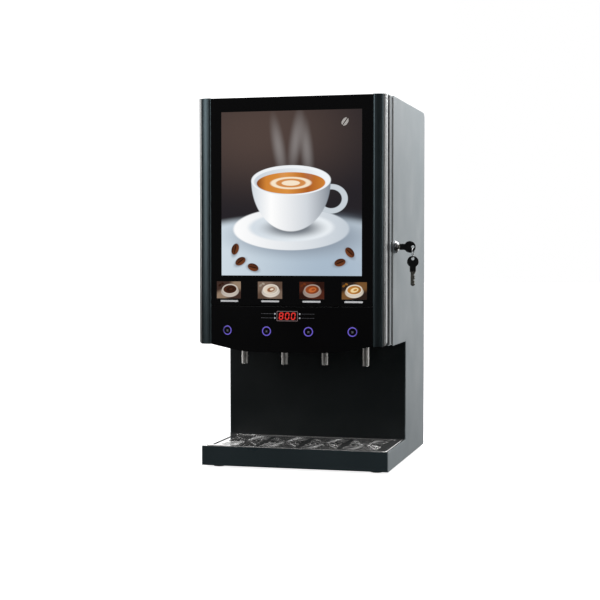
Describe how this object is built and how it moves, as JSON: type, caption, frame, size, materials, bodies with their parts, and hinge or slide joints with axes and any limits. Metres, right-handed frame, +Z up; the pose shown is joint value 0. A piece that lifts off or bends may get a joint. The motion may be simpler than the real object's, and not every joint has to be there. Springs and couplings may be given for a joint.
{
  "type": "hot coffee vending machine",
  "caption": "Countertop hot drinks vending machine with an illuminated hinged door, four push buttons, a digital display, four nozzles over an open cup bay and a lift-out drip tray.",
  "frame": {"origin": "middle of the underside of the whole machine's bounding box, on the counter", "axes": "+Z up, +Y towards the back, +X to the right as seen by a customer"},
  "size_m": [0.4048, 0.443, 0.682],
  "materials": {
    "case_paint": "satin grey powder coat",
    "dark_paint": "satin near-black",
    "chassis_steel": "zinc plated",
    "foot_rubber": "matte",
    "hinge_steel": "plated",
    "lock_chrome": "polished",
    "key_head": "black head on a steel blade",
    "canister_plastic": "translucent",
    "lid_plastic": "satin",
    "auger_plastic": "natural",
    "motor_metal": "plated",
    "bowl_plastic": "satin white",
    "impeller_plastic": "black",
    "nozzle_steel": "brushed stainless",
    "boiler_jacket": "foam insulation jacket",
    "valve_plastic": "white",
    "hose_silicone": "translucent",
    "board_green": "solder mask",
    "supply_case": "plated",
    "inlet_black": "black",
    "rocker_plastic": "black",
    "inlet_brass": "machined",
    "screw_steel": "plated",
    "tray_steel": "brushed stainless",
    "door_paint": "satin grey",
    "trim_metal": "dark satin with a bright bead",
    "black_glass": "back-printed black",
    "lit_film": "backlit film",
    "light_box_white": "white inside",
    "panel_plastic": "gloss black",
    "display_plastic": "smoked red",
    "ring_plastic": "lit violet ring",
    "button_plastic": "black"
  },
  "bodies": {
    "cabinet": {"side_panel_left": "case_paint", "side_panel_right": "case_paint", "top_panel": "case_paint", "rear_panel": "case_paint", "base_pan": "dark_paint", "tray_surround": "dark_paint", "splash_back": "dark_paint", "underside_panel": "dark_paint", "inner_chassis": "chassis_steel", "rubber_feet": "foot_rubber", "hinge_body_leaves": "hinge_steel", "lock_housing": "lock_chrome", "canister_1": "canister_plastic", "canister_2": "canister_plastic", "canister_3": "canister_plastic", "canister_4": "canister_plastic", "canister_lids": "lid_plastic", "dosing_motors": "motor_metal", "mixing_bowls": "bowl_plastic", "mixer_motors": "motor_metal", "nozzles": "nozzle_steel", "boiler": "boiler_jacket", "water_valves": "valve_plastic", "water_hoses": "hose_silicone", "main_board": "board_green", "power_supply": "supply_case", "power_inlet": "inlet_black", "water_inlet": "inlet_brass", "panel_screws": "screw_steel"},
    "door": {"door_shell": "door_paint", "trim_left": "trim_metal", "trim_right": "trim_metal", "front_glass": "black_glass", "poster_film": "lit_film", "light_box": "light_box_white", "control_panel": "panel_plastic", "display_module": "display_plastic", "button_rings": "ring_plastic", "control_board": "board_green", "hinge_door_leaves": "hinge_steel", "lock_catch": "hinge_steel"},
    "button_1": {"button_1": "button_plastic"},
    "button_2": {"button_2": "button_plastic"},
    "button_3": {"button_3": "button_plastic"},
    "button_4": {"button_4": "button_plastic"},
    "lock_plug": {"lock_plug": "lock_chrome"},
    "key": {"key": "key_head"},
    "key_ring": {"key_ring": "lock_chrome"},
    "spare_key": {"spare_key": "key_head"},
    "drip_tray": {"drip_tray": "tray_steel"},
    "drip_grid": {"drip_grid": "tray_steel"},
    "auger_1": {"auger_1": "auger_plastic"},
    "auger_2": {"auger_2": "auger_plastic"},
    "auger_3": {"auger_3": "auger_plastic"},
    "auger_4": {"auger_4": "auger_plastic"},
    "impeller_1": {"impeller_1": "impeller_plastic"},
    "impeller_2": {"impeller_2": "impeller_plastic"},
    "impeller_3": {"impeller_3": "impeller_plastic"},
    "impeller_4": {"impeller_4": "impeller_plastic"},
    "power_rocker": {"power_rocker": "rocker_plastic"}
  },
  "joints": [
    {"name": "door_hinge", "type": "hinge", "parent": "cabinet", "child": "door", "pos_m": [-0.1981, -0.1365, 0.455], "axis": [0, 0, -1], "range_deg": [0, 110]},
    {"name": "button_1_press", "type": "slide", "parent": "door", "child": "button_1", "axis": [0.2504, 0.9682, 0], "range_m": [0, 0.0015], "stiffness_N_per_m": 400, "springref_m": -0.001},
    {"name": "button_2_press", "type": "slide", "parent": "door", "child": "button_2", "axis": [0.0835, 0.9965, 0], "range_m": [0, 0.0015], "stiffness_N_per_m": 400, "springref_m": -0.001},
    {"name": "button_3_press", "type": "slide", "parent": "door", "child": "button_3", "axis": [-0.0835, 0.9965, 0], "range_m": [0, 0.0015], "stiffness_N_per_m": 400, "springref_m": -0.001},
    {"name": "button_4_press", "type": "slide", "parent": "door", "child": "button_4", "axis": [-0.2504, 0.9682, 0], "range_m": [0, 0.0015], "stiffness_N_per_m": 400, "springref_m": -0.001},
    {"name": "lock_turn", "type": "hinge", "parent": "cabinet", "child": "lock_plug", "pos_m": [0.1581, -0.1205, 0.409], "axis": [-1, 0, 0], "range_deg": [0, 90]},
    {"name": "key_slide", "type": "slide", "parent": "lock_plug", "child": "key", "axis": [1, 0, 0], "range_m": [0, 0.026]},
    {"name": "ring_swing", "type": "hinge", "parent": "key", "child": "key_ring", "pos_m": [0.1919, -0.1205, 0.4073], "axis": [0, 1, 0], "range_deg": [-45, 15]},
    {"name": "spare_key_swing", "type": "hinge", "parent": "key_ring", "child": "spare_key", "pos_m": [0.1919, -0.1205, 0.3893], "axis": [0, 1, 0], "range_deg": [-30, 10]},
    {"name": "tray_lift", "type": "slide", "parent": "cabinet", "child": "drip_tray", "axis": [0, 0, 1], "range_m": [0, 0.04]},
    {"name": "grid_lift", "type": "slide", "parent": "drip_tray", "child": "drip_grid", "axis": [0, 0, 1], "range_m": [0, 0.04]},
    {"name": "auger_1_spin", "type": "hinge", "parent": "cabinet", "child": "auger_1", "pos_m": [-0.1352, -0.0165, 0.414], "axis": [0, 1, 0], "continuous": true},
    {"name": "auger_2_spin", "type": "hinge", "parent": "cabinet", "child": "auger_2", "pos_m": [-0.057, -0.0165, 0.414], "axis": [0, 1, 0], "continuous": true},
    {"name": "auger_3_spin", "type": "hinge", "parent": "cabinet", "child": "auger_3", "pos_m": [0.0212, -0.0165, 0.414], "axis": [0, 1, 0], "continuous": true},
    {"name": "auger_4_spin", "type": "hinge", "parent": "cabinet", "child": "auger_4", "pos_m": [0.0994, -0.0165, 0.414], "axis": [0, 1, 0], "continuous": true},
    {"name": "impeller_1_spin", "type": "hinge", "parent": "cabinet", "child": "impeller_1", "pos_m": [-0.1352, -0.0465, 0.3], "axis": [0, 1, 0], "continuous": true},
    {"name": "impeller_2_spin", "type": "hinge", "parent": "cabinet", "child": "impeller_2", "pos_m": [-0.057, -0.0465, 0.3], "axis": [0, 1, 0], "continuous": true},
    {"name": "impeller_3_spin", "type": "hinge", "parent": "cabinet", "child": "impeller_3", "pos_m": [0.0212, -0.0465, 0.3], "axis": [0, 1, 0], "continuous": true},
    {"name": "impeller_4_spin", "type": "hinge", "parent": "cabinet", "child": "impeller_4", "pos_m": [0.0994, -0.0465, 0.3], "axis": [0, 1, 0], "continuous": true},
    {"name": "rocker_tip", "type": "hinge", "parent": "cabinet", "child": "power_rocker", "pos_m": [-0.1141, 0.2015, 0.07], "axis": [1, 0, 0], "range_deg": [0, 14]}
  ]
}
